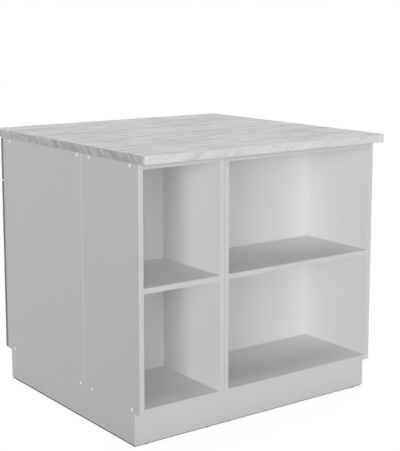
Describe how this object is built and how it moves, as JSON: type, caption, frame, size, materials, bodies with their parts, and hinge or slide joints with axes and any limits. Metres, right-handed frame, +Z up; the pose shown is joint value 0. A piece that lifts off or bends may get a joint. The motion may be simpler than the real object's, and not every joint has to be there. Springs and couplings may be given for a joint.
{
  "type": "kitchen island unit",
  "caption": "Kitchen island with a marble-look worktop: doors and a drawer on one side, open shelves on the other, on a recessed plinth.",
  "frame": {"origin": "on the floor, under the middle of the worktop's outline", "axes": "+X to the right as seen from the door side, +Y from the doors towards the open shelves, +Z up"},
  "size_m": [0.9236, 0.908, 0.846],
  "materials": {
    "white_board": "satin white laminate on board",
    "marble_worktop": "grey-white marble pattern, satin",
    "greige_front": "matt warm grey film on a milled board",
    "hardboard_back": "white painted hardboard",
    "black_metal": "matt black",
    "nickel": "nickel plated steel",
    "grey_steel": "light grey powder coat"
  },
  "bodies": {
    "cabinet": {"plinth_front": "white_board", "plinth_back_wide": "white_board", "plinth_back_narrow": "white_board", "plinth_middle": "white_board", "plinth_side_left": "white_board", "plinth_side_right": "white_board", "narrow_base_side_left": "white_board", "narrow_base_side_right": "white_board", "narrow_base_bottom": "white_board", "narrow_base_rail_front": "white_board", "narrow_base_rail_rear": "white_board", "narrow_base_shelf": "white_board", "narrow_base_back": "hardboard_back", "wide_base_side_left": "white_board", "wide_base_side_right": "white_board", "wide_base_bottom": "white_board", "wide_base_rail_front": "white_board", "wide_base_rail_rear": "white_board", "wide_base_shelf": "white_board", "wide_base_back": "hardboard_back", "narrow_open_side_left": "white_board", "narrow_open_side_right": "white_board", "narrow_open_bottom": "white_board", "narrow_open_top": "white_board", "narrow_open_shelf": "white_board", "narrow_open_back": "white_board", "wide_open_side_left": "white_board", "wide_open_side_right": "white_board", "wide_open_bottom": "white_board", "wide_open_top": "white_board", "wide_open_shelf": "white_board", "wide_open_back": "white_board", "drawer_rail_left": "grey_steel", "drawer_rail_right": "grey_steel", "worktop": "marble_worktop", "narrow_door_hinge_arm_lower": "nickel", "narrow_door_hinge_arm_upper": "nickel", "left_door_hinge_arm_lower": "nickel", "left_door_hinge_arm_upper": "nickel", "right_door_hinge_arm_lower": "nickel", "right_door_hinge_arm_upper": "nickel"},
    "drawer": {"drawer_front": "greige_front", "drawer_handle": "black_metal", "drawer_side_left": "grey_steel", "drawer_side_right": "grey_steel", "drawer_bottom": "white_board", "drawer_back": "white_board"},
    "narrow_door": {"narrow_door": "greige_front", "narrow_door_handle": "black_metal", "narrow_door_hinge_cup_lower": "nickel", "narrow_door_hinge_cup_upper": "nickel"},
    "left_door": {"left_door": "greige_front", "left_door_handle": "black_metal", "left_door_hinge_cup_lower": "nickel", "left_door_hinge_cup_upper": "nickel"},
    "right_door": {"right_door": "greige_front", "right_door_handle": "black_metal", "right_door_hinge_cup_lower": "nickel", "right_door_hinge_cup_upper": "nickel"}
  },
  "joints": [
    {"name": "drawer_slide", "type": "slide", "parent": "cabinet", "child": "drawer", "axis": [0, -1, 0], "range_m": [0, 0.35]},
    {"name": "narrow_door_hinge", "type": "hinge", "parent": "cabinet", "child": "narrow_door", "pos_m": [-0.43125, -0.40471, 0.387], "axis": [0, 0, -1], "range_deg": [0, 95]},
    {"name": "left_door_hinge", "type": "hinge", "parent": "cabinet", "child": "left_door", "pos_m": [-0.13125, -0.40471, 0.387], "axis": [0, 0, -1], "range_deg": [0, 95]},
    {"name": "right_door_hinge", "type": "hinge", "parent": "cabinet", "child": "right_door", "pos_m": [0.45175, -0.40471, 0.387], "axis": [0, 0, 1], "range_deg": [0, 95]}
  ]
}
